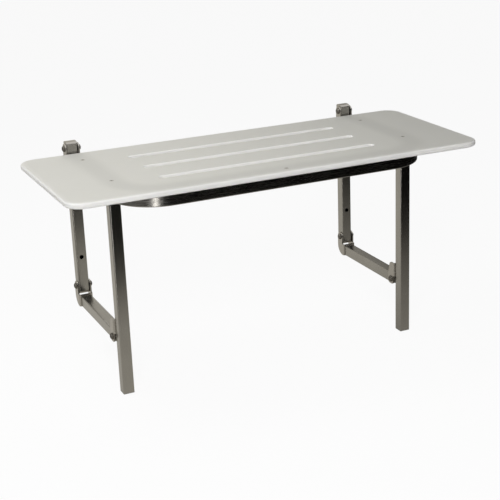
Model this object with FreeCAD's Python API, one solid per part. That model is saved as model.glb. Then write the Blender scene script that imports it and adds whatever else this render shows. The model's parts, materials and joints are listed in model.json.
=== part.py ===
import FreeCAD, Part
import math
import os

# A seat that folds up against a wall. A polymer board lies on a U of square tube that
# hinges on the tops of two wall posts. Two legs hang on the tube, and a link from the
# foot of each post keeps them upright while the seat folds, as a parallelogram.
# Lengths are millimetres. X runs along the wall, Y points into the wall and Z is up.
# The origin lies on the wall, in the middle of the four wall fixings.
# In the functions, forward is the distance from the wall and height is above the floor.

# Seat board
board_length = 960.0
board_depth = 392.0
board_thickness = 13.0
board_top = 478.0
board_corner_radius = 38.0
board_edge_radius = 5.0
side_inset = 130.0

# Drain slots in the board
slot_count = 3
slot_length = 510.0
slot_width = 18.0
slot_pitch = 96.0
slot_edge_width = 1.5

# Square tube of the posts, seat frame, links and legs
tube_size = 25.0
tube_wall = 1.6
tube_corner_radius = 2.5

# Wall posts
post_rise = 24.0
post_bottom = 139.0
post_cap_height = 8.0
post_cap_radius = 7.0
fixing_above_post_bottom = 90.0
fixing_spacing = 190.0
fixing_hole_radius = 3.25
fixing_access_radius = 5.0

# Linkage
wall_pivot_behind_post_front = 7.5
seat_pivot_below_post_top = 15.0
link_pivot_above_post_bottom = 20.0
arm_pivot_above_axis = 0.5
fold_gap = 0.5

# Seat frame
frame_front_inset = 11.0
frame_bend_radius = 93.0

# Hinge brackets of bent plate
plate = 3.0
inner_bend_radius = 1.0
ear_margin = 7.0
ear_board_gap = 5.0
ear_step = 1.0
web_reach = 18.5
heel_radius = 25.0
link_web_rise = 3.5
leg_ear_margin = 5.0
leg_bracket_height = 42.0
leg_bracket_foot = 12.0
leg_bracket_depth = 13.0
leg_bracket_top_depth = 5.0
leg_bracket_corner_radius = 8.0
leg_bracket_foot_radius = 4.0
leg_top_ear_foot = 11.0
leg_top_ear_front = 8.0
leg_top_corner_radius = 4.0
leg_top_bend_corner_radius = 2.0

# Pivot bolts, nuts and washers
bolt_radius = 4.0
bolt_clearance = 0.08
open_pivot_clearance = 0.3
head_overhang = 3.5
head_height = 4.5
head_rim = 1.6
head_bevel = 2.4
socket_across_flats = 5.0
socket_depth = 2.4
nut_grip = 2.6
washer_thickness = 1.0
washer_overhang = 4.0
washer_clearance = 0.3

# Board screws, countersunk into the board and run into the frame
screw_radius = 2.5
screw_head_radius = 5.0
screw_head_depth = 2.7
screw_tip = 4.0
screw_clearance = 0.1
rear_screw_from_back = 67.0
front_screw_from_back = 263.0

# Foot plugs
foot_thickness = 2.0
foot_bevel = 0.6
foot_insert_height = 20.0
foot_insert_wall = 2.0
foot_insert_clearance = 0.15

# Places that follow from the sizes above
half_tube = tube_size / 2
tube_bore = tube_size - 2 * tube_wall
side_spacing = board_length - 2 * side_inset
fixing_height = post_bottom + fixing_above_post_bottom
origin_height = fixing_height + fixing_spacing / 2
bend_radius = plate + inner_bend_radius
ear_setback = bend_radius + ear_step
ear_radius = bolt_radius + ear_margin
leg_ear_radius = bolt_radius + leg_ear_margin
ear_inner = half_tube + washer_thickness
ear_outer = ear_inner + plate
head_radius = bolt_radius + head_overhang
washer_radius = bolt_radius + washer_overhang
nose_radius = half_tube - fold_gap
post_axis = half_tube
wall_pivot_forward = tube_size - wall_pivot_behind_post_front
bar_start = wall_pivot_forward + web_reach
board_back = wall_pivot_forward + ear_radius + ear_board_gap
board_front = board_back + board_depth
first_slot = board_back + (board_depth - (slot_count - 1) * slot_pitch) / 2
board_underside = board_top - board_thickness
frame_axis_height = board_underside - half_tube
frame_underside = board_underside - tube_size
frame_front_axis = board_front - frame_front_inset - half_tube
frame_bend_start = frame_front_axis - frame_bend_radius
post_top = board_top + post_rise
seat_pivot_height = post_top - seat_pivot_below_post_top
arm_pivot_height = frame_axis_height + arm_pivot_above_axis
link_pivot_height = post_bottom + link_pivot_above_post_bottom
link_axis_height = link_pivot_height - (seat_pivot_height - arm_pivot_height)
leg_front = frame_bend_start
leg_back = leg_front - tube_size
leg_top = frame_underside - fold_gap - plate
leg_pivot_forward = leg_back - (arm_pivot_height - frame_underside) - fold_gap
leg_top_ear_radius = leg_ear_radius - fold_gap
screw_places = [
    (-side_spacing / 2, board_back + rear_screw_from_back),
    (side_spacing / 2, board_back + rear_screw_from_back),
    (-side_spacing / 2, board_back + front_screw_from_back),
    (side_spacing / 2, board_back + front_screw_from_back),
    (0.0, frame_front_axis),
]

right = FreeCAD.Vector(1, 0, 0)
forward_way = FreeCAD.Vector(0, -1, 0)
up = FreeCAD.Vector(0, 0, 1)
same_point = 0.001
beyond = 100.0
hexagon = 6


def place(x, forward, height):
    return FreeCAD.Vector(x, -forward, height - origin_height)


def rounded_wire(corners, to_space):
    # A closed outline through corners of (a, b, radius), each rounded by its own radius
    starts = []
    middles = []
    ends = []
    for index, (a, b, radius) in enumerate(corners):
        corner = FreeCAD.Vector(a, b, 0)
        last = corners[index - 1]
        following = corners[(index + 1) % len(corners)]
        towards_last = FreeCAD.Vector(last[0], last[1], 0) - corner
        towards_next = FreeCAD.Vector(following[0], following[1], 0) - corner
        towards_last.normalize()
        towards_next.normalize()
        half_angle = towards_last.getAngle(towards_next) / 2
        inwards = towards_last + towards_next
        inwards.normalize()
        starts.append(corner + towards_last * (radius / math.tan(half_angle)))
        middles.append(corner + inwards * (radius / math.sin(half_angle) - radius))
        ends.append(corner + towards_next * (radius / math.tan(half_angle)))
    edges = []
    for index, (a, b, radius) in enumerate(corners):
        if radius > 0:
            arc = Part.Arc(to_space(starts[index]), to_space(middles[index]), to_space(ends[index]))
            edges.append(arc.toShape())
        line_end = starts[(index + 1) % len(corners)]
        if ends[index].distanceToPoint(line_end) > same_point:
            edges.append(Part.LineSegment(to_space(ends[index]), to_space(line_end)).toShape())
    return Part.Wire(edges)


def side_plate(corners, x_low, x_high):
    # A plate seen from the side, with corners of (forward, height, radius)
    wire = rounded_wire(corners, lambda point: place(x_low, point.x, point.y))
    return Part.Face(wire).extrude(right * (x_high - x_low))


def side_box(near, far, low, high, x_low, x_high):
    corners = [(near, low, 0), (far, low, 0), (far, high, 0), (near, high, 0)]
    return side_plate(corners, x_low, x_high)


def level_plate(corners, low, high):
    # A plate seen from above, with corners of (x, forward, radius)
    wire = rounded_wire(corners, lambda point: place(point.x, point.y, low))
    return Part.Face(wire).extrude(up * (high - low))


def square_wire(size, radius, centre, across, along):
    half = size / 2
    corners = [(-half, -half, radius), (half, -half, radius), (half, half, radius), (-half, half, radius)]
    return rounded_wire(corners, lambda point: centre + across * point.x + along * point.y)


def ring_face(outer, inner):
    return Part.Face(outer).cut(Part.Face(inner)).Faces[0]


def tube_face(centre, across, along):
    outer = square_wire(tube_size, tube_corner_radius, centre, across, along)
    inner = square_wire(tube_bore, 0, centre, across, along)
    return ring_face(outer, inner)


def upright_tube(x, axis, low, high):
    return tube_face(place(x, axis, low), right, forward_way).extrude(up * (high - low))


def level_tube(x, height, near, far):
    return tube_face(place(x, near, height), right, up).extrude(forward_way * (far - near))


def rod(x_low, x_high, forward, height, radius):
    return Part.makeCylinder(radius, x_high - x_low, place(x_low, forward, height), right)


def bolt_hole(x, forward, height, clearance=bolt_clearance):
    return rod(x - ear_outer, x + ear_outer, forward, height, bolt_radius + clearance)


def edges_along_at(shape, points_on_edge):
    # The straight edges of a shape that pass through any of the given points
    found = []
    for edge in shape.Edges:
        for point in points_on_edge:
            if edge.distToShape(Part.Vertex(point))[0] < same_point and len(edge.Vertexes) == 2:
                found.append(edge)
    return found


def bend(shape, outer_points, inner_points):
    shape = shape.makeFillet(bend_radius, edges_along_at(shape, outer_points))
    return shape.makeFillet(inner_bend_radius, edges_along_at(shape, inner_points))


def level_edge_at(edge, height):
    return abs(edge.BoundBox.ZMin - height) < same_point and edge.BoundBox.ZLength < same_point


def round_ended_plate(forward, radius, low, high):
    # A plate along the wall that ends in half circles, and is as long as a slot of that radius
    reach = (slot_length - slot_width) / 2
    corners = [
        (-reach, forward - radius, 0),
        (reach, forward - radius, 0),
        (reach, forward + radius, 0),
        (-reach, forward + radius, 0),
    ]
    middle = level_plate(corners, low, high)
    ends = [Part.makeCylinder(radius, high - low, place(x, forward, low), up) for x in (-reach, reach)]
    return middle.fuse(ends).removeSplitter()


def seat_board():
    half = board_length / 2
    corners = [
        (-half, board_back, board_corner_radius),
        (half, board_back, board_corner_radius),
        (half, board_front, board_corner_radius),
        (-half, board_front, board_corner_radius),
    ]
    board = level_plate(corners, board_underside, board_top)
    rims = [edge for edge in board.Edges if abs(edge.BoundBox.ZLength) < same_point]
    board = board.makeFillet(board_edge_radius, rims)
    for index in range(slot_count):
        slot = drain_slot(first_slot + index * slot_pitch)
        board = board.cut(slot)
    for x, forward in screw_places:
        board = board.cut(board_screw(x, forward, screw_clearance))
    return board


def drain_slot(forward):
    # A round-ended slot whose mouths flare out at the board's faces
    half_width = slot_width / 2
    slot = round_ended_plate(forward, half_width, board_underside, board_top)
    mouths = []
    for inside, outside in ((slot_edge_width, -slot_width), (board_thickness - slot_edge_width, 2 * slot_width)):
        low = board_underside + min(inside, outside)
        high = board_underside + max(inside, outside)
        mouth = round_ended_plate(forward, half_width + slot_edge_width, low, high)
        rim_height = board_underside + inside - origin_height
        rim = [edge for edge in mouth.Edges if level_edge_at(edge, rim_height)]
        mouths.append(mouth.makeChamfer(slot_edge_width, rim))
    return slot.fuse(mouths)


def board_screw(x, forward, clearance=0.0):
    # A countersunk screw, or with a clearance the hole that takes it
    cone_low = board_top - screw_head_depth - clearance
    head = Part.makeCone(
        screw_radius + clearance,
        screw_head_radius + clearance,
        screw_head_depth + clearance,
        place(x, forward, cone_low),
        up,
    )
    tip = board_underside - tube_wall - screw_tip
    shank = Part.makeCylinder(screw_radius + clearance, cone_low - tip, place(x, forward, tip), up)
    return head.fuse(shank).removeSplitter()


def seat_frame():
    pieces = []
    for side in (-1, 1):
        x = side * side_spacing / 2
        pieces.append(level_tube(x, frame_axis_height, bar_start, frame_bend_start))
        face = tube_face(place(x, frame_bend_start, frame_axis_height), right, up)
        centre = place(x - side * frame_bend_radius, frame_bend_start, frame_axis_height)
        pieces.append(face.revolve(centre, up, -90 * side))
    front_end = side_spacing / 2 - frame_bend_radius
    face = tube_face(place(-front_end, frame_front_axis, frame_axis_height), forward_way, up)
    pieces.append(face.extrude(right * (2 * front_end)))
    frame = pieces[0].fuse(pieces[1:]).removeSplitter()
    for side in (-1, 1):
        frame = frame.cut(bolt_hole(side * side_spacing / 2, leg_pivot_forward, arm_pivot_height))
    for x, forward in screw_places:
        frame = frame.cut(board_screw(x, forward, screw_clearance))
    return frame


def hinge_bracket(x, pivot_height, shelf, foot):
    # Ears beside a post end that run down past its front and forward to a web at the bar
    pivot = wall_pivot_forward
    outline = [
        (pivot + ear_radius, pivot_height + ear_radius, ear_radius - same_point),
        (pivot + ear_radius, shelf, inner_bend_radius),
        (bar_start, shelf, 0),
        (bar_start, foot, 0),
        (pivot - ear_radius, foot, heel_radius),
        (pivot - ear_radius, pivot_height + ear_radius, ear_radius - same_point),
    ]
    bracket = side_plate(outline, x - ear_outer, x + ear_outer)
    ceiling = pivot_height + beyond
    hollow = side_box(-beyond, bar_start - plate, foot - beyond, ceiling, x - ear_inner, x + ear_inner)
    bracket = bracket.cut(hollow)
    middle = (shelf + foot) / 2
    outer_points = [place(x + side * ear_outer, bar_start, middle) for side in (-1, 1)]
    inner_points = [place(x + side * ear_inner, bar_start - plate, middle) for side in (-1, 1)]
    bracket = bend(bracket, outer_points, inner_points)
    return bracket.cut(bolt_hole(x, pivot, pivot_height))


def seat_hinge_bracket(x):
    # It hangs from the post top behind the board, and carries an arm of the frame
    return hinge_bracket(x, seat_pivot_height, board_underside - fold_gap, frame_underside)


def link_rear_bracket(x):
    # It hangs from the post foot and carries the link
    low = link_axis_height - half_tube
    return hinge_bracket(x, link_pivot_height, link_axis_height + half_tube + link_web_rise, low)


def link_tube(x):
    # The link, with its front end milled round the leg pivot
    low = link_axis_height - half_tube
    high = link_axis_height + half_tube
    nose = leg_pivot_forward + half_tube
    tube = level_tube(x, link_axis_height, bar_start, nose)
    outline = [(bar_start, low, 0), (nose, low, nose_radius), (nose, high, nose_radius), (bar_start, high, 0)]
    tube = tube.common(side_plate(outline, x - half_tube, x + half_tube))
    return tube.cut(bolt_hole(x, leg_pivot_forward, link_axis_height, open_pivot_clearance))


def leg_mid_bracket(x):
    # A channel on the back of the leg, whose web stops above the link's round end
    pivot = leg_pivot_forward
    web_back = leg_back - plate
    top = link_axis_height + leg_bracket_height
    foot = link_axis_height - leg_bracket_foot
    swing = half_tube + 2 * fold_gap
    web_low = link_axis_height + math.sqrt(max(swing ** 2 - (web_back - pivot) ** 2, fold_gap ** 2))
    ear_back = pivot - leg_bracket_depth
    outline = [
        (leg_back, top, 0),
        (leg_back, web_low, 0),
        (leg_back - ear_setback, web_low, 0),
        (leg_back - ear_setback, foot, leg_bracket_foot_radius),
        (ear_back, foot, leg_bracket_corner_radius),
        (ear_back, link_axis_height + leg_ear_radius, leg_bracket_corner_radius),
        (pivot - leg_bracket_top_depth, top, leg_bracket_corner_radius),
    ]
    bracket = side_plate(outline, x - ear_outer, x + ear_outer)
    behind_web = side_box(-beyond, web_back, foot - beyond, top + beyond, x - ear_inner, x + ear_inner)
    below_web = side_box(web_back, leg_back + beyond, foot - beyond, web_low, x - ear_inner, x + ear_inner)
    bracket = bracket.cut([behind_web, below_web])
    middle = (web_low + top) / 2
    outer_points = [place(x + side * ear_outer, leg_back, middle) for side in (-1, 1)]
    inner_points = [place(x + side * ear_inner, web_back, middle) for side in (-1, 1)]
    bracket = bend(bracket, outer_points, inner_points)
    return bracket.cut(bolt_hole(x, pivot, link_axis_height, open_pivot_clearance))


def leg_top_bracket(x):
    # A channel on the leg's top, open upwards, whose ears take the frame's arm
    pivot = leg_pivot_forward
    height = arm_pivot_height
    web_top = leg_top + plate
    ear_foot = height - leg_top_ear_foot
    outline = [
        (leg_front, leg_top, 0),
        (leg_back, leg_top, 0),
        (leg_back, ear_foot, 0),
        (pivot - leg_top_ear_radius, ear_foot, leg_top_ear_radius - fold_gap),
        (pivot - leg_top_ear_radius, height + leg_top_ear_radius, leg_top_ear_radius - fold_gap),
        (pivot + leg_top_ear_radius, height + leg_top_ear_radius, leg_top_corner_radius),
        (leg_front, height - leg_top_ear_front, leg_top_bend_corner_radius),
    ]
    bracket = side_plate(outline, x - ear_outer, x + ear_outer)
    above_web = side_box(0, leg_front + beyond, web_top, height + beyond, x - ear_inner, x + ear_inner)
    behind_web = side_box(0, leg_back, leg_top - beyond, web_top, x - ear_inner, x + ear_inner)
    bracket = bracket.cut([above_web, behind_web])
    middle = (leg_back + leg_front) / 2
    outer_points = [place(x + side * ear_outer, middle, leg_top) for side in (-1, 1)]
    inner_points = [place(x + side * ear_inner, middle, web_top) for side in (-1, 1)]
    bracket = bend(bracket, outer_points, inner_points)
    return bracket.cut(bolt_hole(x, pivot, height))


def wall_post(x):
    post = upright_tube(x, post_axis, post_bottom + post_cap_height, post_top - post_cap_height)
    post = post.cut([
        bolt_hole(x, wall_pivot_forward, seat_pivot_height),
        bolt_hole(x, wall_pivot_forward, link_pivot_height),
    ])
    for height in (fixing_height, fixing_height + fixing_spacing):
        screw_hole = Part.makeCylinder(fixing_hole_radius, tube_size, place(x, 0, height), forward_way)
        access = Part.makeCylinder(fixing_access_radius, tube_size, place(x, post_axis, height), forward_way)
        post = post.cut([screw_hole, access])
    return post


def post_cap(x, outer_end, inner_end):
    # A solid end, rounded front and back so that the bracket can swing past it
    outline = [
        (0, inner_end, 0),
        (tube_size, inner_end, 0),
        (tube_size, outer_end, post_cap_radius),
        (0, outer_end, post_cap_radius),
    ]
    block = side_plate(outline, x - half_tube, x + half_tube)
    low = min(outer_end, inner_end)
    wire = square_wire(tube_size, tube_corner_radius, place(x, post_axis, low), right, forward_way)
    return block.common(Part.Face(wire).extrude(up * post_cap_height))


def leg_tube(x):
    return upright_tube(x, leg_back + half_tube, foot_thickness, leg_top)


def foot_plug(x):
    # A floor pad with a hollow stub inside the leg
    axis = leg_back + half_tube
    pad = Part.Face(square_wire(tube_size, tube_corner_radius, place(x, axis, 0), right, forward_way))
    pad = pad.extrude(up * foot_thickness)
    floor_rim = [edge for edge in pad.Edges if edge.BoundBox.ZMax < same_point - origin_height]
    pad = pad.makeChamfer(foot_bevel, floor_rim)
    stub_size = tube_bore - 2 * foot_insert_clearance
    centre = place(x, axis, foot_thickness)
    outer = square_wire(stub_size, 0, centre, right, forward_way)
    inner = square_wire(stub_size - 2 * foot_insert_wall, 0, centre, right, forward_way)
    stub = ring_face(outer, inner).extrude(up * foot_insert_height)
    return pad.fuse(stub)


def round_head(x, side, forward, height):
    # A bevelled round head on the plane at x, which stands out towards side
    rim = Part.makeCylinder(head_radius, head_rim, place(x, forward, height), right * side)
    crown_height = head_height - head_rim
    crown_place = place(x + side * head_rim, forward, height)
    crown = Part.makeCone(head_radius, head_radius - head_bevel, crown_height, crown_place, right * side)
    return rim.fuse(crown)


def pivot_bolt(x, side, forward, height):
    # A round-headed bolt with a hexagon socket, its head on the outer ear
    face = x + side * ear_outer
    shank_end = x - side * (ear_outer + nut_grip)
    shank = rod(min(face, shank_end), max(face, shank_end), forward, height, bolt_radius)
    socket_radius = socket_across_flats / math.sqrt(3)
    corners = []
    for corner in range(hexagon):
        angle = 2 * math.pi * corner / hexagon
        corners.append((forward + socket_radius * math.cos(angle), height + socket_radius * math.sin(angle), 0))
    tip = face + side * head_height
    bottom = tip - side * socket_depth
    socket = side_plate(corners, min(tip, bottom), max(tip, bottom))
    return round_head(face, side, forward, height).fuse(shank).cut(socket)


def pivot_nut(x, side, forward, height):
    # A blind round nut on the inner ear
    face = x - side * ear_outer
    end = x - side * (ear_outer + nut_grip)
    bore = rod(min(face, end), max(face, end), forward, height, bolt_radius + bolt_clearance)
    return round_head(face, -side, forward, height).cut(bore)


def pivot_washers(x, forward, height):
    washers = []
    for side in (-1, 1):
        near = min(side * half_tube, side * ear_inner)
        ring = rod(x + near, x + near + washer_thickness, forward, height, washer_radius)
        hole = rod(x + near, x + near + washer_thickness, forward, height, bolt_radius + washer_clearance)
        washers.append(ring.cut(hole))
    return Part.makeCompound(washers)


def save(name, shape):
    shape.exportStep("parts/" + name + ".step")


os.makedirs("parts", exist_ok=True)
save("seat_board", seat_board())
save("seat_frame", seat_frame())
save("seat_screws", Part.makeCompound([board_screw(x, forward) for x, forward in screw_places]))

pivots = {
    "seat": (wall_pivot_forward, seat_pivot_height),
    "link": (wall_pivot_forward, link_pivot_height),
    "arm": (leg_pivot_forward, arm_pivot_height),
    "leg": (leg_pivot_forward, link_axis_height),
}

for side_name, side in (("left", -1), ("right", 1)):
    side_x = side * side_spacing / 2
    save("wall_post_" + side_name, wall_post(side_x))
    save("post_top_cap_" + side_name, post_cap(side_x, post_top, post_top - post_cap_height))
    save("post_bottom_cap_" + side_name, post_cap(side_x, post_bottom, post_bottom + post_cap_height))
    save("seat_hinge_bracket_" + side_name, seat_hinge_bracket(side_x))
    save("link_rear_bracket_" + side_name, link_rear_bracket(side_x))
    save("link_tube_" + side_name, link_tube(side_x))
    save("leg_tube_" + side_name, leg_tube(side_x))
    save("leg_mid_bracket_" + side_name, leg_mid_bracket(side_x))
    save("leg_top_bracket_" + side_name, leg_top_bracket(side_x))
    save("foot_plug_" + side_name, foot_plug(side_x))
    for pivot_name, (forward, height) in pivots.items():
        ending = pivot_name + "_pivot_" + side_name
        save("bolt_" + ending, pivot_bolt(side_x, side, forward, height))
        save("nut_" + ending, pivot_nut(side_x, side, forward, height))
        save("washers_" + ending, pivot_washers(side_x, forward, height))
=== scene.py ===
import json
import math
import bmesh
import bpy
from mathutils import Matrix, Vector

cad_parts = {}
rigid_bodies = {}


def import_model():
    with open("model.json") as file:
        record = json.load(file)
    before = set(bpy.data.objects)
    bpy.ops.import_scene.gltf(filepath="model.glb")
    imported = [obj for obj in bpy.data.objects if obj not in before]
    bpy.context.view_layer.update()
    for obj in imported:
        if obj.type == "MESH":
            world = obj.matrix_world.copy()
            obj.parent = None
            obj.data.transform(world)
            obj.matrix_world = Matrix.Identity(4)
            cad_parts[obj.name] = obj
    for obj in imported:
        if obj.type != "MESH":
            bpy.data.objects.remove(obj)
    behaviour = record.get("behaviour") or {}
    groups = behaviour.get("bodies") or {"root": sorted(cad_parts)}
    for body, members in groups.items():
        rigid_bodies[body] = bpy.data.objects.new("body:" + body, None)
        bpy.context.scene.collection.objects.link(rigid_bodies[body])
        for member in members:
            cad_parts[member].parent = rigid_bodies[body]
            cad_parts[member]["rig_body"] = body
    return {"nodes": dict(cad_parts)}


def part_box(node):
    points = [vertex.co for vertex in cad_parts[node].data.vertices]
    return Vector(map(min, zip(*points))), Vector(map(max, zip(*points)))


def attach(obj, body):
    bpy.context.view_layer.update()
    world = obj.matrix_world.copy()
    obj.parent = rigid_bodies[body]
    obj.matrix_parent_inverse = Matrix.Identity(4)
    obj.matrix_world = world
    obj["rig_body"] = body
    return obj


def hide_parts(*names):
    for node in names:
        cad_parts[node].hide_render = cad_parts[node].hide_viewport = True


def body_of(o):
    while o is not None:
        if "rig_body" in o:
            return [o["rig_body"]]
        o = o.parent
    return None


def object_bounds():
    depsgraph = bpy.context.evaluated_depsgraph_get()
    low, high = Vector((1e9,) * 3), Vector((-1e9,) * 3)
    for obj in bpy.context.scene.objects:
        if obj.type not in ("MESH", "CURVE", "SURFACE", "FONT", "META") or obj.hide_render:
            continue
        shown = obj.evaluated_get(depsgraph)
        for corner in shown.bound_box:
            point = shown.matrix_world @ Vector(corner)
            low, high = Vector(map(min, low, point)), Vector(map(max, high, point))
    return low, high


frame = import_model()
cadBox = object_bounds()
nodes = frame["nodes"]
sides = {"left": -1, "right": 1}
smoothAngle = math.radians(32)
print("frame loaded,", len(nodes), "nodes")


# Small helpers

def linearColour(hexCode):
    # An sRGB hex value as the linear colour that a shader takes
    channels = [int(hexCode[start:start + 2], 16) / 255 for start in (1, 3, 5)]
    linear = [c / 12.92 if c <= 0.04045 else ((c + 0.055) / 1.055) ** 2.4 for c in channels]
    return (*linear, 1.0)


def addNode(tree, kind, inputs=None, **settings):
    # A node with its settings, and for each input a value or the socket that feeds it
    node = tree.nodes.new(kind)
    for setting, value in settings.items():
        setattr(node, setting, value)
    for key, value in (inputs or {}).items():
        if isinstance(value, bpy.types.NodeSocket):
            tree.links.new(value, node.inputs[key])
        else:
            node.inputs[key].default_value = value
    return node


def mathNode(tree, operation, *values):
    return addNode(tree, "ShaderNodeMath", dict(enumerate(values)), operation=operation).outputs[0]


def vectorNode(tree, operation, *values):
    inputs = dict(enumerate(values))
    return addNode(tree, "ShaderNodeVectorMath", inputs, operation=operation).outputs[0]


def mapRange(tree, value, low, high, newLow, newHigh, smooth=False):
    kind = "SMOOTHSTEP" if smooth else "LINEAR"
    inputs = {"Value": value, "From Min": low, "From Max": high, "To Min": newLow, "To Max": newHigh}
    return addNode(tree, "ShaderNodeMapRange", inputs, interpolation_type=kind).outputs["Result"]


def blendColours(tree, factor, first, second):
    inputs = {"Factor": factor, "A": first, "B": second}
    return addNode(tree, "ShaderNodeMix", inputs, data_type="RGBA").outputs["Result"]


def noisePattern(tree, coordinates, perMetre, detail):
    inputs = {"Vector": coordinates, "Scale": perMetre, "Detail": detail}
    return addNode(tree, "ShaderNodeTexNoise", inputs).outputs["Fac"]


def objectCoordinates(tree):
    return addNode(tree, "ShaderNodeTexCoord").outputs["Object"]


def newPiece(name, mesh, material):
    piece = bpy.data.objects.new(name, mesh)
    bpy.context.scene.collection.objects.link(piece)
    mesh.materials.clear()
    mesh.materials.append(material)
    return piece


def smoothMesh(mesh):
    mesh.polygons.foreach_set("use_smooth", [True] * len(mesh.polygons))
    mesh.set_sharp_from_angle(angle=smoothAngle)


# Materials

noiseLow, noiseHigh = 0.3, 0.7  # most values of a noise pattern lie between these


def startMaterial(name):
    material = bpy.data.materials.new(name)
    material.use_nodes = True
    tree = material.node_tree
    return material, tree, tree.nodes["Principled BSDF"]


def varyColour(tree, shader, pattern, dark, light):
    tone = blendColours(tree, pattern, linearColour(dark), linearColour(light))
    tree.links.new(tone, shader.inputs["Base Color"])


def varyRoughness(tree, shader, pattern, smoothest, roughest):
    roughness = mapRange(tree, pattern, noiseLow, noiseHigh, smoothest, roughest)
    tree.links.new(roughness, shader.inputs["Roughness"])


def addBump(tree, shader, pattern, strength, depth):
    inputs = {"Height": pattern, "Strength": strength, "Distance": depth}
    bump = addNode(tree, "ShaderNodeBump", inputs).outputs["Normal"]
    tree.links.new(bump, shader.inputs["Normal"])


satinFinish = {
    "grainPitch": 0.0012,  # the real abrasive lines are 0.1 mm apart, too fine to show
    "grainLength": 0.05,
    "grainDetail": 3.0,
    "grainStrength": 0.025,
    "grainDepth": 0.000008,
    "smudgeSize": 0.06,
    "smudgeDetail": 2.0,
    "smootherStreak": 0.03,
    "rougherStreak": 0.04,
}


def satinSteel(name, lengthAxis, light, dark, roughness, attribute=None):
    # 304 stainless steel tube and plate, belt polished along its length: soft streaked reflections
    material, tree, shader = startMaterial(name)
    if attribute:
        coordinates = addNode(tree, "ShaderNodeAttribute", attribute_name=attribute).outputs["Vector"]
    else:
        coordinates = objectCoordinates(tree)
    stretch = [1 / satinFinish["grainPitch"]] * 3
    stretch["xyz".index(lengthAxis)] = 1 / satinFinish["grainLength"]
    stretched = addNode(tree, "ShaderNodeMapping", {"Vector": coordinates, "Scale": stretch})
    grain = noisePattern(tree, stretched.outputs["Vector"], 1.0, satinFinish["grainDetail"])
    smudge = noisePattern(tree, coordinates, 1 / satinFinish["smudgeSize"], satinFinish["smudgeDetail"])
    varyColour(tree, shader, smudge, dark, light)
    smoothest = roughness - satinFinish["smootherStreak"]
    varyRoughness(tree, shader, grain, smoothest, roughness + satinFinish["rougherStreak"])
    addBump(tree, shader, grain, satinFinish["grainStrength"], satinFinish["grainDepth"])
    shader.inputs["Metallic"].default_value = 1.0
    return material


turnedFinish = {
    "marksPerMetre": 900.0,
    "detail": 2.0,
    "smoothest": 0.36,
    "roughest": 0.46,
}


def turnedSteel(name, light, dark):
    # Machined stainless steel of bolts, nuts and screws: fine turned marks, duller than the tube
    material, tree, shader = startMaterial(name)
    coordinates = objectCoordinates(tree)
    marks = noisePattern(tree, coordinates, turnedFinish["marksPerMetre"], turnedFinish["detail"])
    varyColour(tree, shader, marks, dark, light)
    varyRoughness(tree, shader, marks, turnedFinish["smoothest"], turnedFinish["roughest"])
    shader.inputs["Metallic"].default_value = 1.0
    return material


weldFinish = {
    "violet": "#77716C",
    "straw": "#9C968A",
    "tintsPerMetre": 260.0,
    "detail": 1.0,
    "smoothest": 0.3,
    "roughest": 0.45,
}


def weldSteel():
    # Weld metal, pickled after welding: pale grey with a faint straw and violet heat tint
    material, tree, shader = startMaterial("pickledWeldMetal")
    coordinates = objectCoordinates(tree)
    heat = noisePattern(tree, coordinates, weldFinish["tintsPerMetre"], weldFinish["detail"])
    varyColour(tree, shader, heat, weldFinish["violet"], weldFinish["straw"])
    varyRoughness(tree, shader, heat, weldFinish["smoothest"], weldFinish["roughest"])
    shader.inputs["Metallic"].default_value = 1.0
    return material


nylonFinish = {
    "bloomsPerMetre": 300.0,
    "detail": 3.0,
    "smoothest": 0.45,
    "roughest": 0.6,
    "refraction": 1.53,
}


def nylon(name, light, dark):
    # Moulded nylon of feet and washers: dull, with a slight bloom
    material, tree, shader = startMaterial(name)
    coordinates = objectCoordinates(tree)
    bloom = noisePattern(tree, coordinates, nylonFinish["bloomsPerMetre"], nylonFinish["detail"])
    varyColour(tree, shader, bloom, dark, light)
    varyRoughness(tree, shader, bloom, nylonFinish["smoothest"], nylonFinish["roughest"])
    shader.inputs["IOR"].default_value = nylonFinish["refraction"]
    return material


boardFinish = {
    "darkMottle": "#D7D6CF",
    "lightMottle": "#DBDAD3",
    "mottleSize": 0.09,
    "mottleDetail": 3.0,
    # painted light: the edges and slot walls take this whiter colour, as where light comes through the
    # milky sheet
    "machined": "#F0EFEC",
    "faceNormal": 0.97,  # a level face has an upright normal, and what lies below edgeNormal is an edge
    "edgeNormal": 0.7,
    "edgeGlow": 0.016,  # painted light: how far inside the outline the light that enters at the edge still shows
    "edgeGlowShare": 0.3,
    "cornerRadius": 0.038,
    # painted shadow of the tube beneath: the board darkens to this share over the tube, fading out
    # between these distances from it
    "showThrough": 0.90,
    "showThroughInner": 0.006,
    "showThroughOuter": 0.040,
    "grainSize": 0.0014,  # the moulded texture is about 0.5 mm, drawn coarser so that it shows
    "grainDetail": 2.0,
    "grainStrength": 0.2,
    "grainDepth": 0.0001,
    "smoothest": 0.36,
    "roughest": 0.46,
    "refraction": 1.54,
    "specular": 0.35,
    "milkiness": 0.25,
    "milkyColours": (1.0, 1.0, 0.9),
    "milkyDepth": 0.006,
}


def distanceOutside(tree, coordinates, centre, reach, cornerRadius):
    # Signed distance, seen from above, of a point from a rectangle with rounded corners
    corner = (reach[0] - cornerRadius, reach[1] - cornerRadius, 0.0)
    moved = vectorNode(tree, "SUBTRACT", coordinates, (*centre, 0.0))
    beyond = vectorNode(tree, "SUBTRACT", vectorNode(tree, "ABSOLUTE", moved), corner)
    parts = addNode(tree, "ShaderNodeSeparateXYZ", {"Vector": beyond}).outputs
    flat = addNode(tree, "ShaderNodeCombineXYZ", {"X": parts["X"], "Y": parts["Y"]}).outputs[0]
    positive = vectorNode(tree, "MAXIMUM", flat)
    outside = addNode(tree, "ShaderNodeVectorMath", {0: positive}, operation="LENGTH").outputs["Value"]
    inside = mathNode(tree, "MINIMUM", mathNode(tree, "MAXIMUM", parts["X"], parts["Y"]), 0.0)
    return mathNode(tree, "SUBTRACT", mathNode(tree, "ADD", outside, inside), cornerRadius)


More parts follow.
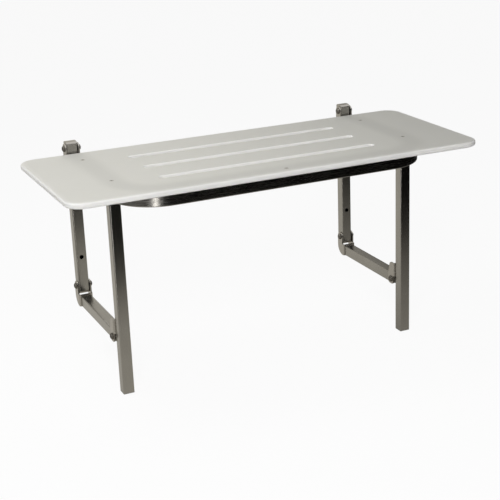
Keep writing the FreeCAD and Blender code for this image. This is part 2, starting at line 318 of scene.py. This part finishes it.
def whitePolyethylene(tubeCentre, tubeReach, bendRadius, boardCentre, boardReach):
    # White HDPE sheet: milky and satin, with painted light that makes its edges and slots whiter, as
    # where light comes through the milky sheet, and a painted shadow of the tube beneath as a soft
    # darker band
    material, tree, shader = startMaterial("whitePolyethyleneSheet")
    coordinates = objectCoordinates(tree)
    # Painted shadow: darker in a soft band over the tube beneath
    offset = distanceOutside(tree, coordinates, tubeCentre, tubeReach, bendRadius)
    shade = mapRange(
        tree, mathNode(tree, "ABSOLUTE", offset), boardFinish["showThroughInner"],
        boardFinish["showThroughOuter"], boardFinish["showThrough"], 1.0, smooth=True)
    mottle = noisePattern(tree, coordinates, 1 / boardFinish["mottleSize"], boardFinish["mottleDetail"])
    face = blendColours(
        tree, mottle, linearColour(boardFinish["darkMottle"]), linearColour(boardFinish["lightMottle"]))
    # Painted light: faces that are not level, the edges and the walls of the slots, are whiter
    normal = addNode(tree, "ShaderNodeTexCoord").outputs["Normal"]
    upright = addNode(tree, "ShaderNodeSeparateXYZ", {"Vector": normal}).outputs["Z"]
    upright = mathNode(tree, "ABSOLUTE", upright)
    cutEdge = mapRange(tree, upright, boardFinish["faceNormal"], boardFinish["edgeNormal"], 0.0, 1.0)
    # Painted light near the outline, as where light enters at the edge
    rim = distanceOutside(tree, coordinates, boardCentre, boardReach, boardFinish["cornerRadius"])
    glow = mapRange(
        tree, rim, -boardFinish["edgeGlow"], 0.0, 0.0, boardFinish["edgeGlowShare"], smooth=True)
    whiteness = mathNode(tree, "MAXIMUM", cutEdge, glow)
    tone = blendColours(tree, whiteness, face, linearColour(boardFinish["machined"]))
    shaded = addNode(tree, "ShaderNodeVectorMath", {0: tone, "Scale": shade}, operation="SCALE")
    tree.links.new(shaded.outputs[0], shader.inputs["Base Color"])
    grain = noisePattern(tree, coordinates, 1 / boardFinish["grainSize"], boardFinish["grainDetail"])
    addBump(tree, shader, grain, boardFinish["grainStrength"], boardFinish["grainDepth"])
    varyRoughness(tree, shader, grain, boardFinish["smoothest"], boardFinish["roughest"])
    shader.inputs["IOR"].default_value = boardFinish["refraction"]
    shader.inputs["Specular IOR Level"].default_value = boardFinish["specular"]
    shader.inputs["Subsurface Weight"].default_value = boardFinish["milkiness"]
    shader.inputs["Subsurface Radius"].default_value = boardFinish["milkyColours"]
    shader.inputs["Subsurface Scale"].default_value = boardFinish["milkyDepth"]
    return material


steelLook = {"light": "#A9A6A0", "dark": "#9D9A94", "roughness": 0.23}
bentLook = {**steelLook, "roughness": 0.27}
plateLook = {"light": "#B9B5AE", "dark": "#ADA9A2", "roughness": 0.30}
uprightSteel = satinSteel("satinSteelUpright", "z", **steelLook)
levelSteel = satinSteel("satinSteelLevel", "y", **steelLook)
plateSteel = satinSteel("satinSteelPlate", "z", **plateLook)
frameSteel = satinSteel("satinSteelBentTube", "z", **bentLook, attribute="straightened")
boltSteel = turnedSteel("turnedSteelBolt", "#7A766F", "#625E58")
screwSteel = turnedSteel("turnedSteelScrew", "#B9B5AC", "#A5A198")
weldMetal = weldSteel()
washerNylon = nylon("blackNylonWasher", "#2B2B2B", "#232323")
footNylon = nylon("greyNylonFoot", "#8E8B84", "#807D76")
print("materials made")


# Plain pieces, which are the solids of the frame with their edges broken

meshCleaning = {
    "mergeDistance": 0.000002,
    "flatAngle": math.radians(0.4),
    "bevelSegments": 2,
    "areaWeight": 100,
}


def flatFaces(piece):
    # Weighs the normals by area, so a flat face shades flat right up to its rounded edges
    weighted = piece.modifiers.new("flatFaceNormals", "WEIGHTED_NORMAL")
    weighted.keep_sharp = True
    weighted.weight = meshCleaning["areaWeight"]


def brokenEdgeCopy(node, material, edgeRadius):
    # The board keeps its own rounded edges, so its radius is 0
    work = bmesh.new()
    work.from_mesh(nodes[node].data)
    bmesh.ops.remove_doubles(work, verts=work.verts, dist=meshCleaning["mergeDistance"])
    bmesh.ops.dissolve_limit(
        work, angle_limit=meshCleaning["flatAngle"], verts=work.verts, edges=work.edges)
    mesh = bpy.data.meshes.new(node + "_dressed")
    work.to_mesh(mesh)
    work.free()
    smoothMesh(mesh)
    piece = newPiece(node + "_dressed", mesh, material)
    if edgeRadius:
        bevel = piece.modifiers.new("brokenEdges", "BEVEL")
        bevel.width = edgeRadius
        bevel.segments = meshCleaning["bevelSegments"]
        bevel.limit_method = "ANGLE"
        bevel.angle_limit = smoothAngle
        bevel.harden_normals = True
    else:
        flatFaces(piece)
    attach(piece, body_of(nodes[node])[0])
    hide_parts(node)


frameLow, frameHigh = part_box("seat_frame")
framePath = {
    "armStart": -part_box("seat_hinge_bracket_left")[0].y,
    "front": -frameLow.y,
    "sideReach": frameHigh.x,
    "tube": frameHigh.z - frameLow.z,
    "height": (frameHigh.z + frameLow.z) / 2,
    "bendRadius": 0.093,
    "bendSteps": 20,
    "cornerRadius": 0.0025,
    "cornerSteps": 4,
}
half = framePath["tube"] / 2
armAxis = framePath["sideReach"] - half
frontAxis = framePath["front"] - half
boardLow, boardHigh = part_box("seat_board")
boardCentre = (0.0, (boardLow.y + boardHigh.y) / 2)
boardReach = (boardHigh.x, (boardHigh.y - boardLow.y) / 2)
boardMaterial = whitePolyethylene(
    (0.0, frontAxis), (armAxis, 2 * frontAxis), framePath["bendRadius"], boardCentre, boardReach)

# Each piece of a side has its name, its material, its slot and the radius of its broken edges
plainPieces = (
    ("wall_post_", uprightSteel, "tube", 0.0003),
    ("leg_tube_", uprightSteel, "tube", 0.0003),
    ("link_tube_", levelSteel, "tube", 0.0003),
    ("post_top_cap_", plateSteel, "cap", 0.0002),
    ("post_bottom_cap_", plateSteel, "cap", 0.0003),
    ("foot_plug_", footNylon, "foot", 0.0004),
    ("seat_hinge_bracket_", plateSteel, "bracket", 0.0004),
    ("link_rear_bracket_", plateSteel, "bracket", 0.0004),
    ("leg_mid_bracket_", plateSteel, "bracket", 0.0004),
    ("leg_top_bracket_", plateSteel, "bracket", 0.0004),
)
brokenEdgeCopy("seat_board", boardMaterial, 0)
for side in sides:
    for name, material, slotName, edgeRadius in plainPieces:
        brokenEdgeCopy(name + side, material, edgeRadius)
for name, node in nodes.items():
    if name.startswith("washers_"):
        node.data.materials.clear()
        node.data.materials.append(washerNylon)
print("plain pieces dressed")


# Geometry Nodes trees

def startTree(name, inputs):
    tree = bpy.data.node_groups.new(name, "GeometryNodeTree")
    tree.interface.new_socket("Geometry", in_out="INPUT", socket_type="NodeSocketGeometry")
    tree.interface.new_socket("Geometry", in_out="OUTPUT", socket_type="NodeSocketGeometry")
    for label, kind in inputs.items():
        tree.interface.new_socket(label, in_out="INPUT", socket_type="NodeSocket" + kind)
    return tree, tree.nodes.new("NodeGroupInput").outputs


def finishTree(tree, geometry, material):
    painted = addNode(tree, "GeometryNodeSetMaterial", {"Geometry": geometry, "Material": material})
    addNode(tree, "NodeGroupOutput", {"Geometry": painted.outputs[0]})
    return tree


def grow(name, tree, start, values, material):
    # Runs a tree on a start mesh and keeps the result as a plain mesh
    carrier = bpy.data.objects.new(name + "_carrier", start)
    bpy.context.scene.collection.objects.link(carrier)
    modifier = carrier.modifiers.new("grow", "NODES")
    modifier.node_group = tree
    for item in tree.interface.items_tree:
        if item.in_out == "INPUT" and item.name in values:
            modifier[item.identifier] = values[item.name]
    bpy.context.view_layer.update()
    graph = bpy.context.evaluated_depsgraph_get()
    mesh = bpy.data.meshes.new_from_object(carrier.evaluated_get(graph), depsgraph=graph)
    carrier.modifiers.remove(modifier)
    bpy.data.objects.remove(carrier)
    mesh.name = name
    smoothMesh(mesh)
    return newPiece(name, mesh, material)


def pointMesh(name, points, edges=(), **attributes):
    mesh = bpy.data.meshes.new(name)
    mesh.from_pydata([tuple(point) for point in points], list(edges), [])
    for label, values in attributes.items():
        mesh.attributes.new(label, "FLOAT", "POINT").data.foreach_set("value", values)
    return mesh


def filletCurve(tree, curve, radius, steps):
    inputs = {"Curve": curve, "Radius": radius, "Count": steps}
    return addNode(tree, "GeometryNodeFilletCurve", inputs, mode="POLY").outputs[0]


def randomNumber(tree, low, high, seed):
    # The node has an output for each type of value, and only the one in use is enabled
    node = addNode(tree, "FunctionNodeRandomValue", {2: low, 3: high, "Seed": seed})
    return [output for output in node.outputs if output.enabled][0]


def bentTubeTree():
    # A square tube that follows a path with rounded bends, and knows its place along the path
    tree, sockets = startTree("bentTube", {
        "Bend radius": "Float", "Bend steps": "Int", "Tube size": "Float", "Corner radius": "Float",
        "Corner steps": "Int", "Material": "Material"})
    path = addNode(tree, "GeometryNodeMeshToCurve", {"Mesh": sockets["Geometry"]}).outputs[0]
    path = filletCurve(tree, path, sockets["Bend radius"], sockets["Bend steps"])
    path = addNode(tree, "GeometryNodeSetCurveNormal", {"Curve": path}, mode="Z_UP").outputs[0]
    square = {"Width": sockets["Tube size"], "Height": sockets["Tube size"]}
    profile = addNode(tree, "GeometryNodeCurvePrimitiveQuadrilateral", square).outputs[0]
    profile = filletCurve(tree, profile, sockets["Corner radius"], sockets["Corner steps"])
    along = addNode(tree, "GeometryNodeCaptureAttribute", {"Geometry": path}, domain="POINT")
    along.capture_items.new("FLOAT", "Along")
    length = addNode(tree, "GeometryNodeSplineParameter").outputs["Length"]
    tree.links.new(length, along.inputs["Along"])
    across = addNode(tree, "GeometryNodeCaptureAttribute", {"Geometry": profile}, domain="POINT")
    across.capture_items.new("VECTOR", "Across")
    tree.links.new(addNode(tree, "GeometryNodeInputPosition").outputs[0], across.inputs["Across"])
    sweepInputs = {
        "Curve": along.outputs["Geometry"], "Profile Curve": across.outputs["Geometry"],
        "Fill Caps": True}
    swept = addNode(tree, "GeometryNodeCurveToMesh", sweepInputs).outputs[0]
    flat = addNode(tree, "ShaderNodeSeparateXYZ", {"Vector": across.outputs["Across"]})
    straight = addNode(tree, "ShaderNodeCombineXYZ", {
        "X": flat.outputs["X"], "Y": flat.outputs["Y"], "Z": along.outputs["Along"]}).outputs[0]
    storeInputs = {"Geometry": swept, "Name": "straightened", "Value": straight}
    stored = addNode(
        tree, "GeometryNodeStoreNamedAttribute", storeInputs, data_type="FLOAT_VECTOR", domain="POINT")
    return finishTree(tree, stored.outputs[0], sockets["Material"])


def fixingsTree():
    # Copies of one turned piece on points, each turned towards its own side and spun at random
    tree, sockets = startTree("fixings", {"Fixing": "Object", "Seed": "Int", "Material": "Material"})
    source = addNode(tree, "GeometryNodeObjectInfo", {"Object": sockets["Fixing"]}).outputs["Geometry"]
    outward = addNode(tree, "GeometryNodeInputNamedAttribute", {"Name": "outward"}, data_type="FLOAT")
    tilt = mathNode(tree, "MULTIPLY", outward.outputs["Attribute"], math.pi / 2)
    facing = addNode(tree, "ShaderNodeCombineXYZ", {"Y": tilt}).outputs[0]
    facing = addNode(tree, "FunctionNodeEulerToRotation", {0: facing}).outputs[0]
    spin = randomNumber(tree, 0.0, math.tau, sockets["Seed"])
    spin = addNode(tree, "ShaderNodeCombineXYZ", {"Z": spin}).outputs[0]
    spin = addNode(tree, "FunctionNodeEulerToRotation", {0: spin}).outputs[0]
    turnInputs = {"Rotation": facing, "Rotate By": spin}
    turned = addNode(tree, "FunctionNodeRotateRotation", turnInputs, rotation_space="LOCAL").outputs[0]
    placed = addNode(tree, "GeometryNodeInstanceOnPoints", {
        "Points": sockets["Geometry"], "Instance": source, "Rotation": turned}).outputs[0]
    real = addNode(tree, "GeometryNodeRealizeInstances", {"Geometry": placed}).outputs[0]
    return finishTree(tree, real, sockets["Material"])


weldSizes = {
    "bead": 0.0013,
    "pitch": 0.0011,
    "inset": 0.0004,
    "cornerSteps": 4,
    "rippleSegments": 8,
    "rippleRings": 5,
    "rippleLength": 0.7,
    "leastRipple": 0.88,
    "belowBracket": 0.002,
    "aboveLinkAxis": 0.014,
    "seeds": {"seat": 1, "link": 3, "leg": 7},
}


def weldTree():
    # A run of overlapping ripples along a path, each a little different in size
    tree, sockets = startTree("weldRipples", {
        "Corner radius": "Float", "Bead radius": "Float", "Ripple pitch": "Float", "Seed": "Int",
        "Material": "Material"})
    path = addNode(tree, "GeometryNodeMeshToCurve", {"Mesh": sockets["Geometry"]}).outputs[0]
    path = filletCurve(tree, path, sockets["Corner radius"], weldSizes["cornerSteps"])
    stepInputs = {"Curve": path, "Length": sockets["Ripple pitch"]}
    path = addNode(tree, "GeometryNodeResampleCurve", stepInputs, mode="LENGTH").outputs[0]
    ball = addNode(tree, "GeometryNodeMeshUVSphere", {
        "Segments": weldSizes["rippleSegments"], "Rings": weldSizes["rippleRings"],
        "Radius": sockets["Bead radius"]}).outputs[0]
    flattened = (1.0, 1.0, weldSizes["rippleLength"])
    ball = addNode(tree, "GeometryNodeTransform", {"Geometry": ball, "Scale": flattened}).outputs[0]
    tangent = addNode(tree, "GeometryNodeInputTangent").outputs[0]
    aim = addNode(tree, "FunctionNodeAlignRotationToVector", {"Vector": tangent}, axis="Z").outputs[0]
    size = randomNumber(tree, weldSizes["leastRipple"], 1.0, sockets["Seed"])
    placed = addNode(tree, "GeometryNodeInstanceOnPoints", {
        "Points": path, "Instance": ball, "Rotation": aim, "Scale": size}).outputs[0]
    real = addNode(tree, "GeometryNodeRealizeInstances", {"Geometry": placed}).outputs[0]
    return finishTree(tree, real, sockets["Material"])


# Seat frame

def buildFrame():
    height = framePath["height"]
    corners = [
        (-armAxis, -framePath["armStart"], height),
        (-armAxis, -frontAxis, height),
        (armAxis, -frontAxis, height),
        (armAxis, -framePath["armStart"], height),
    ]
    start = pointMesh("seatFramePath", corners, [(0, 1), (1, 2), (2, 3)])
    values = {
        "Bend radius": framePath["bendRadius"], "Bend steps": framePath["bendSteps"],
        "Tube size": framePath["tube"], "Corner radius": framePath["cornerRadius"],
        "Corner steps": framePath["cornerSteps"], "Material": frameSteel,
    }
    piece = grow("seatFrame", bentTubeTree(), start, values, frameSteel)
    flatFaces(piece)
    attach(piece, "seat")
    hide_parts("seat_frame")


buildFrame()
print("seat frame swept")


# Pivot bolts, nuts and board screws

boltSizes = {
    "radius": 0.0075,
    "rim": 0.0012,
    "brokenEdge": 0.0003,
    "height": 0.0045,
    "flatTop": 0.0036,
    "domeSteps": 6,
    "socket": 0.005,
    "socketDepth": 0.0022,
    "shank": 0.004,
    "boltShank": 0.0335,
    "nutShank": 0.0005,
    "steps": 48,
    "nutSeed": 10,
}


def ringPoints(work, steps, height, radiusAt):
    ring = []
    for step in range(steps):
        angle = math.tau * step / steps
        radius = radiusAt(angle)
        ring.append(work.verts.new((radius * math.cos(angle), radius * math.sin(angle), height)))
    return ring


def hexagonRadius(acrossFlats):
    sector = math.pi / 3
    return lambda angle: acrossFlats / 2 / math.cos((angle % sector) - sector / 2)


def turnedHead(name, profile, sizes, hasSocket=True):
    # Rings from the underside to the top, then a hexagon socket or a closed crown
    steps = sizes["steps"]
    work = bmesh.new()
    rings = []
    for radius, height in profile:
        rings.append(ringPoints(work, steps, height, lambda angle: radius))
    if hasSocket:
        topHeight = profile[-1][1]
        for height in (topHeight, topHeight - sizes["socketDepth"]):
            rings.append(ringPoints(work, steps, height, hexagonRadius(sizes["socket"])))
    for lower, upper in zip(rings, rings[1:]):
        for step in range(steps):
            following = (step + 1) % steps
            work.faces.new((lower[step], lower[following], upper[following], upper[step]))
    work.faces.new(list(reversed(rings[0])))
    work.faces.new(rings[-1])
    bmesh.ops.recalc_face_normals(work, faces=work.faces)
    mesh = bpy.data.meshes.new(name)
    work.to_mesh(mesh)
    work.free()
    source = bpy.data.objects.new(name, mesh)
    bpy.context.scene.collection.objects.link(source)
    source.hide_render = True
    source.hide_viewport = True
    return source


def domeProfile(sizes, shankLength):
    crown = sizes["height"] - sizes["rim"]
    edge = sizes["brokenEdge"]
    profile = [
        (sizes["shank"], -shankLength), (sizes["shank"], 0.0),
        (sizes["radius"] - edge, 0.0), (sizes["radius"], edge),
    ]
    for step in range(sizes["domeSteps"] + 1):
        share = step / sizes["domeSteps"]
        radius = sizes["radius"] + (sizes["flatTop"] - sizes["radius"]) * share
        rise = crown * math.sin(share * math.pi / 2)
        profile.append((radius, sizes["rim"] + rise))
    return profile


boltProfile = domeProfile(boltSizes, boltSizes["boltShank"])
nutProfile = domeProfile(boltSizes, boltSizes["nutShank"])
boltHead = turnedHead("boltSource", boltProfile, boltSizes)
nutHead = turnedHead("nutSource", nutProfile, boltSizes, hasSocket=False)
fixings = fixingsTree()


def addFixings(body, kind, source, pivots, seed):
    # A bolt's head is on the outer side of its pivot and the nut's on the inner side
    points = []
    outward = []
    names = []
    for pivot, side in pivots:
        place = "_" + pivot + "_pivot_" + side
        direction = sides[side] if kind == "bolt" else -sides[side]
        low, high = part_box(kind + place)
        tip = high.x if direction > 0 else low.x
        face = tip - direction * boltSizes["height"]
        low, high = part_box("bolt" + place)
        points.append((face, (low.y + high.y) / 2, (low.z + high.z) / 2))
        outward.append(direction)
        names.append(kind + place)
    start = pointMesh(kind + "Points", points, outward=outward)
    values = {"Fixing": source, "Seed": seed, "Material": boltSteel}
    piece = grow(kind + "s_" + body, fixings, start, values, boltSteel)
    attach(piece, body)
    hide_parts(*names)


pivotsOfBody = {
    "wall_frame": [(pivot, side) for pivot in ("seat", "link") for side in sides],
    "seat": [("arm", side) for side in sides],
    "link_left": [("leg", "left")],
    "link_right": [("leg", "right")],
}
for seed, (body, pivots) in enumerate(pivotsOfBody.items()):
    addFixings(body, "bolt", boltHead, pivots, seed)
    addFixings(body, "nut", nutHead, pivots, seed + boltSizes["nutSeed"])

screwSizes = {
    "head": 0.005,
    "headEdge": 0.0002,
    "depth": 0.0027,
    "sunk": 0.0003,
    "shank": 0.0025,
    "length": 0.018,
    "socket": 0.0032,
    "socketDepth": 0.0018,
    "fromBack": 0.067,
    "fromBackFront": 0.263,
    "steps": 36,
    "seed": 5,
}


def addBoardScrews():
    edge = screwSizes["headEdge"]
    profile = [
        (screwSizes["shank"], -screwSizes["length"]),
        (screwSizes["shank"], -screwSizes["depth"]),
        (screwSizes["head"] - edge, -edge),
        (screwSizes["head"] - 2 * edge, 0.0),
    ]
    source = turnedHead("screwSource", profile, screwSizes)
    top = boardHigh.z - screwSizes["sunk"]
    rows = (screwSizes["fromBack"], screwSizes["fromBackFront"])
    points = [(x, boardHigh.y - distance, top) for x in (-armAxis, armAxis) for distance in rows]
    points.append((0.0, -frontAxis, top))
    start = pointMesh("screwPoints", points, outward=[0.0] * len(points))
    values = {"Fixing": source, "Seed": screwSizes["seed"], "Material": screwSteel}
    piece = grow("boardScrews", fixings, start, values, screwSteel)
    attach(piece, "seat")
    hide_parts("seat_screws")
    return source


screwSource = addBoardScrews()
for source in (boltHead, nutHead, screwSource):
    bpy.data.objects.remove(source)
print("bolts, nuts and screws set")


# Weld beads, which the solids leave out

weldBead = weldTree()


def weldRun(name, body, seed, loops):
    # Each loop is its points and whether it closes on itself
    points = []
    edges = []
    for loop, closed in loops:
        first = len(points)
        points.extend(loop)
        edges.extend((index, index + 1) for index in range(first, len(points) - 1))
        if closed:
            edges.append((len(points) - 1, first))
    start = pointMesh(name + "Path", points, edges)
    values = {
        "Corner radius": framePath["cornerRadius"], "Bead radius": weldSizes["bead"],
        "Ripple pitch": weldSizes["pitch"], "Seed": seed, "Material": weldMetal,
    }
    piece = grow(name, weldBead, start, values, weldMetal)
    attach(piece, body)


def addWelds():
    inset = weldSizes["inset"]
    reach = half - inset
    armEnds = []
    for side, direction in sides.items():
        near, far = direction * armAxis - reach, direction * armAxis + reach

        # No bead under the arm or behind the leg's top: they lie half a millimetre apart when folded
        weldY = -framePath["armStart"] - inset
        low = framePath["height"] - reach + weldSizes["bead"]
        high = framePath["height"] + reach - weldSizes["bead"]
        armEnds.extend(([(x, weldY, high), (x, weldY, low)], False) for x in (near, far))

        linkLow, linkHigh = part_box("link_tube_" + side)
        linkAxis = (linkLow.z + linkHigh.z) / 2
        linkY = linkHigh.y - inset
        low, high = linkAxis - reach, linkAxis + reach
        linkEnd = [(near, linkY, low), (far, linkY, low), (far, linkY, high), (near, linkY, high)]
        weldRun("linkWeld_" + side, "link_" + side, weldSizes["seeds"]["link"], [(linkEnd, True)])

        legLow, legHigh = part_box("leg_tube_" + side)
        top = legHigh.z - inset
        back = legHigh.y - inset
        front = legLow.y + inset
        crownBack = back - weldSizes["bead"]
        crown = [(near, crownBack, top), (near, front, top), (far, front, top), (far, crownBack, top)]
        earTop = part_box("leg_mid_bracket_" + side)[1].z - weldSizes["belowBracket"]
        earFoot = linkAxis + weldSizes["aboveLinkAxis"]
        ears = [([(x, back, earTop), (x, back, earFoot)], False) for x in (near, far)]
        weldRun("legWeld_" + side, "leg_" + side, weldSizes["seeds"]["leg"], [(crown, False), *ears])
    weldRun("seatWeld", "seat", weldSizes["seeds"]["seat"], armEnds)


addWelds()
print("weld beads laid")


# Camera, as fitted to the outline of the object in the photograph

cameraFit = {
    "place": (-1.08837, -2.64473, 0.83036),
    "yaw": 0.45352,
    "pitch": -0.32427,
    "roll": -0.0287,
    "lens": 88.232,
    "sensor": 36.0,
    "shiftX": -0.08114,
    "shiftY": -0.01851,
    "farthest": 200.0,
}


def addCamera():
    camera = bpy.data.objects.new("photoCamera", bpy.data.cameras.new("photoCamera"))
    bpy.context.scene.collection.objects.link(camera)
    turn = Matrix.Rotation(-cameraFit["yaw"], 4, "Z")
    tip = Matrix.Rotation(math.pi / 2 + cameraFit["pitch"], 4, "X")
    lean = Matrix.Rotation(cameraFit["roll"], 4, "Z")
    camera.matrix_world = Matrix.Translation(cameraFit["place"]) @ turn @ tip @ lean
    camera.data.lens = cameraFit["lens"]
    camera.data.sensor_width = cameraFit["sensor"]
    camera.data.shift_x = cameraFit["shiftX"]
    camera.data.shift_y = cameraFit["shiftY"]
    camera.data.clip_end = cameraFit["farthest"]
    bpy.context.scene.camera = camera


addCamera()
print("camera placed")


# Stage and lights

stageSizes = {
    "floor": 30.0,
    "floorColour": "#F4F4F4",
    "floorRoughness": 0.9,
    "floorOwnWhite": 0.93,
    "worldLight": 0.2,
    "clothBack": 1.3,
    "clothFront": -4.0,
    "clothRightEnd": 0.3,
    "clothHalfWidth": 3.0,
    "clothHeight": 2.4,
    "clothLift": 0.0005,
    "stripNear": (-0.60, -1.05),
    "stripFar": (-1.45, -2.97),
    "stripWidth": 0.2,
    "stripStrength": 5.0,
}
# The pale part of the reflection sheet, a painted reflection of the lit floor near the object, fades
# out over these ranges of X and Y, in metres
clothTones = {
    "dark": "#020202",
    "pale": "#D4D1C9",
    "front": (-1.15, -0.72),
    "depth": (-0.8, 0.3),
    "depthShare": 0.78,
    "slant": -0.35,
    "right": (0.0, 1.5),
    "left": (-1.6, -0.9),
}
floorHeight = cadBox[0].z


def flatSheet(name, corners, material):
    mesh = bpy.data.meshes.new(name)
    mesh.from_pydata(corners, [], [tuple(range(len(corners)))])
    sheet = newPiece(name, mesh, material)
    return sheet


def seenAsItIs(tree):
    # 1 on what the camera sees, straight, in a mirror or through glass, and 0 on what only lights
    rays = addNode(tree, "ShaderNodeLightPath").outputs
    seen = mathNode(tree, "MAXIMUM", rays["Is Camera Ray"], rays["Is Glossy Ray"])
    return mathNode(tree, "MAXIMUM", seen, rays["Is Transmission Ray"])


def floorMaterial():
    # White painted studio floor, part lit and part its own white, so that the shadow on it stays soft
    material, tree, shader = startMaterial("paleStudioFloor")
    shader.inputs["Base Color"].default_value = linearColour(stageSizes["floorColour"])
    shader.inputs["Roughness"].default_value = stageSizes["floorRoughness"]
    shader.inputs["Specular IOR Level"].default_value = 0.0
    share = mathNode(tree, "MULTIPLY", seenAsItIs(tree), stageSizes["floorOwnWhite"])
    white = addNode(tree, "ShaderNodeEmission", {"Color": linearColour("#FFFFFF")}).outputs[0]
    mixed = addNode(tree, "ShaderNodeMixShader", {0: share, 1: shader.outputs[0], 2: white}).outputs[0]
    tree.links.new(mixed, tree.nodes["Material Output"].inputs["Surface"])
    return material


def clothMaterial():
    # Painted reflection: glowing sheets round the object, dark where they stand in for the dim room and
    # paler close to it where they stand in for the lit floor, which only polished metal reflects
    material, tree, shader = startMaterial("darkStudioCloth")
    split = addNode(tree, "ShaderNodeSeparateXYZ", {"Vector": objectCoordinates(tree)}).outputs
    slanted = mathNode(tree, "MULTIPLY_ADD", split["Y"], clothTones["slant"], split["X"])
    shade = mapRange(tree, split["Y"], *clothTones["front"], 0.0, 1.0, smooth=True)
    fades = (
        mapRange(tree, split["Y"], *clothTones["depth"], clothTones["depthShare"], 1.0),
        mapRange(tree, slanted, *clothTones["right"], 1.0, 0.0),
        mapRange(tree, split["X"], *clothTones["left"], 0.0, 1.0, smooth=True),
    )
    for fade in fades:
        shade = mathNode(tree, "MULTIPLY", shade, fade)
    tone = blendColours(tree, shade, linearColour(clothTones["dark"]), linearColour(clothTones["pale"]))
    tree.links.new(tone, shader.inputs["Emission Color"])
    shader.inputs["Emission Strength"].default_value = 1.0
    shader.inputs["Base Color"].default_value = linearColour("#000000")
    shader.inputs["Roughness"].default_value = 1.0
    shader.inputs["Specular IOR Level"].default_value = 0.0
    return material


def stripMaterial():
    # Painted highlight: a narrow glowing strip, seen only in metal and lighting nothing, which the bend
    # of the frame mirrors as one bright upright line
    material, tree, shader = startMaterial("stripLamp")
    shader.inputs["Base Color"].default_value = linearColour("#FFFFFF")
    shader.inputs["Emission Color"].default_value = linearColour("#FFFFFF")
    shader.inputs["Emission Strength"].default_value = stageSizes["stripStrength"]
    return material


def addMirroredSheet(name, corners, material):
    # A sheet that shows only in metal, as a painted reflection: the camera does not see it, it lights
    # nothing and casts no shadow
    sheet = flatSheet(name, corners, material)
    sheet.visible_camera = False
    sheet.visible_diffuse = False
    sheet.visible_shadow = False
    sheet.visible_transmission = False


def addStage():
    edge = stageSizes["floor"] / 2
    ground = [(-edge, -edge), (edge, -edge), (edge, edge), (-edge, edge)]
    flatSheet("floor", [(x, y, floorHeight) for x, y in ground], floorMaterial())
    # Painted reflection: glowing sheets on the floor and hung round the object, seen only in metal
    cloth = clothMaterial()
    width = stageSizes["clothHalfWidth"]
    front = stageSizes["clothFront"]
    back = stageSizes["clothBack"]
    end = stageSizes["clothRightEnd"]
    low = floorHeight + stageSizes["clothLift"]
    high = floorHeight + stageSizes["clothHeight"]
    laid = [(-width, front, low), (width, front, low), (width, back, low), (-width, back, low)]
    addMirroredSheet("clothOnFloor", laid, cloth)
    hung = {
        "clothBehindCamera": ((-width, front), (width, front)),
        "clothAtRight": ((width, front), (width, end)),
        "clothAtBack": ((-width, back), (width, back)),
    }
    for name, (left, right) in hung.items():
        corners = [(*left, low), (*left, high), (*right, high), (*right, low)]
        addMirroredSheet(name, corners, cloth)
    # Painted highlight: the glowing strip on the floor that the bend of the frame mirrors
    near = Vector((*stageSizes["stripNear"], low + stageSizes["clothLift"]))
    far = Vector((*stageSizes["stripFar"], low + stageSizes["clothLift"]))
    across = (far - near).cross(Vector((0, 0, 1))).normalized() * stageSizes["stripWidth"] / 2
    strip = [near - across, near + across, far + across, far - across]
    addMirroredSheet("stripLamp", [tuple(corner) for corner in strip], stripMaterial())


# The front lamp shows in no metal, so that the fronts of the steel stay dark, as in a dim room
lamps = {
    "frontSoftbox": {
        "place": (-1.35, -2.6, 1.85),
        "target": (0, -0.3, 0.1),
        "size": 1.2,
        "power": 56,
        "mirrored": False,
    },
    "topSoftbox": {
        "place": (-0.9, 0.1, 1.6),
        "target": (-0.3, -0.2, 0.1),
        "size": 0.8,
        "power": 11,
        "mirrored": True,
    },
}


def addLamp(name, place, target, size, power, mirrored):
    lamp = bpy.data.lights.new(name, "AREA")
    lamp.shape = "SQUARE"
    lamp.size = size
    lamp.energy = power
    holder = bpy.data.objects.new(name, lamp)
    bpy.context.scene.collection.objects.link(holder)
    aim = (Vector(target) - Vector(place)).to_track_quat("-Z", "Y")
    holder.matrix_world = Matrix.Translation(place) @ aim.to_matrix().to_4x4()
    holder.visible_glossy = mirrored


def addWorld():
    world = bpy.data.worlds.new("studio")
    bpy.context.scene.world = world
    world.use_nodes = True
    tree = world.node_tree
    background = tree.nodes["Background"]
    strength = mapRange(tree, seenAsItIs(tree), 0.0, 1.0, stageSizes["worldLight"], 1.0)
    tree.links.new(strength, background.inputs["Strength"])
    background.inputs["Color"].default_value = linearColour("#FFFFFF")


addStage()
addWorld()
for name, settings in lamps.items():
    addLamp(name, **settings)
bpy.context.scene.view_settings.view_transform = "Standard"
print("stage and lights set")
